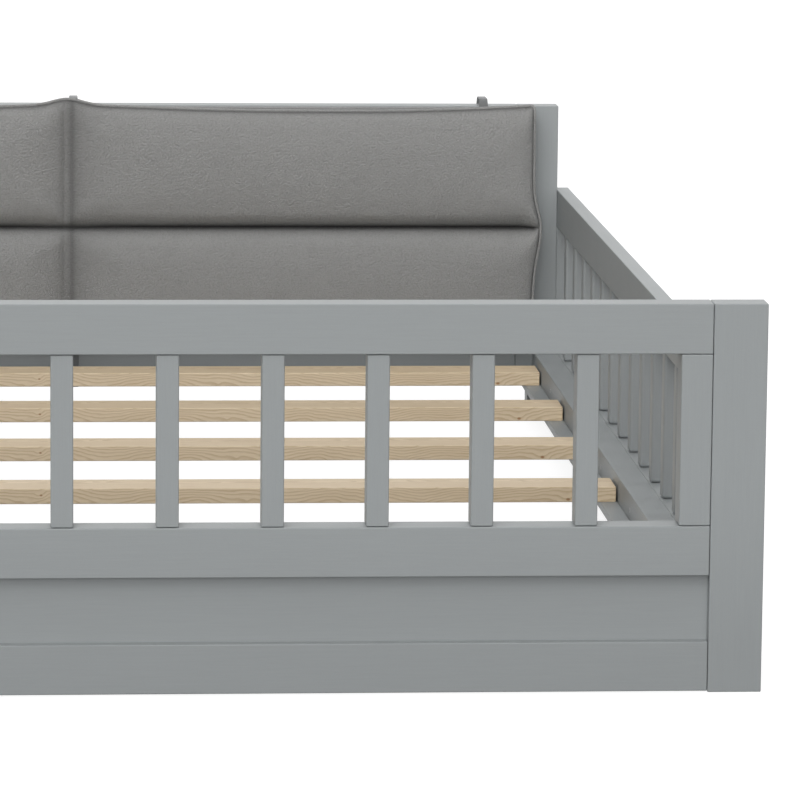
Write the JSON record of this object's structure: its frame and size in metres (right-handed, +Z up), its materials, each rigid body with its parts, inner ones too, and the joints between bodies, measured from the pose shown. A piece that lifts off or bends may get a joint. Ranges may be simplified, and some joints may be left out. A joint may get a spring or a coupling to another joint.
{
  "type": "toddler bed",
  "caption": "Low slatted floor bed for a toddler with a railed foot end, baluster side fences, loose pine slats and a padded cushion strapped to its headboard.",
  "frame": {"origin": "on the floor, at the middle of the bed's overall width and length", "axes": "+X to the right seen from the foot end, +Y from the foot end to the headboard, +Z up"},
  "size_m": [1.5, 1.982, 0.45],
  "materials": {
    "grey_paint": "satin grey paint over fine-grained board",
    "pine": "planed pale pine, unvarnished",
    "cushion_leather": "grey pebbled leather-look cover with piping",
    "webbing": "dark grey flat webbing",
    "beech": "raw fluted beech",
    "zinc": "dull cast zinc",
    "steel": "zinc-plated steel"
  },
  "bodies": {
    "bed_frame": {"bed_rail_left": "grey_paint", "bed_rail_right": "grey_paint", "cam_bolts": "steel", "cam_locks": "zinc", "cushion_strap_centre": "webbing", "cushion_strap_left": "webbing", "cushion_strap_right": "webbing", "fence_balusters_left": "grey_paint", "fence_balusters_right": "grey_paint", "fence_bolts": "steel", "fence_bottom_rail_left": "grey_paint", "fence_bottom_rail_right": "grey_paint", "fence_foot_stile_left": "grey_paint", "fence_foot_stile_right": "grey_paint", "fence_head_stile_left": "grey_paint", "fence_head_stile_right": "grey_paint", "fence_screws": "steel", "fence_top_rail_left": "grey_paint", "fence_top_rail_right": "grey_paint", "foot_baluster_01": "grey_paint", "foot_baluster_02": "grey_paint", "foot_baluster_03": "grey_paint", "foot_baluster_04": "grey_paint", "foot_baluster_05": "grey_paint", "foot_baluster_06": "grey_paint", "foot_baluster_07": "grey_paint", "foot_baluster_08": "grey_paint", "foot_baluster_09": "grey_paint", "foot_baluster_10": "grey_paint", "foot_baluster_11": "grey_paint", "foot_base_rail": "grey_paint", "foot_bottom_rail": "grey_paint", "foot_post_left": "grey_paint", "foot_post_right": "grey_paint", "foot_recessed_panel": "grey_paint", "foot_stile_left": "grey_paint", "foot_stile_right": "grey_paint", "foot_top_rail": "grey_paint", "head_lower_rail": "grey_paint", "head_panel": "grey_paint", "head_post_left": "grey_paint", "head_post_right": "grey_paint", "head_top_rail": "grey_paint", "headboard_cushion": "cushion_leather", "ledge_screws": "steel", "slat_ledge_left": "grey_paint", "slat_ledge_right": "grey_paint", "wood_pegs": "beech"},
    "slat_1": {"slat_1": "pine"},
    "slat_2": {"slat_2": "pine"},
    "slat_3": {"slat_3": "pine"},
    "slat_4": {"slat_4": "pine"},
    "slat_5": {"slat_5": "pine"},
    "slat_6": {"slat_6": "pine"}
  },
  "joints": [
    {"name": "slat_1_lift", "type": "slide", "parent": "bed_frame", "child": "slat_1", "axis": [0, 0, 1], "range_m": [0, 0.28]},
    {"name": "slat_2_lift", "type": "slide", "parent": "bed_frame", "child": "slat_2", "axis": [0, 0, 1], "range_m": [0, 0.28]},
    {"name": "slat_3_lift", "type": "slide", "parent": "bed_frame", "child": "slat_3", "axis": [0, 0, 1], "range_m": [0, 0.28]},
    {"name": "slat_4_lift", "type": "slide", "parent": "bed_frame", "child": "slat_4", "axis": [0, 0, 1], "range_m": [0, 0.28]},
    {"name": "slat_5_lift", "type": "slide", "parent": "bed_frame", "child": "slat_5", "axis": [0, 0, 1], "range_m": [0, 0.28]},
    {"name": "slat_6_lift", "type": "slide", "parent": "bed_frame", "child": "slat_6", "axis": [0, 0, 1], "range_m": [0, 0.28]}
  ]
}
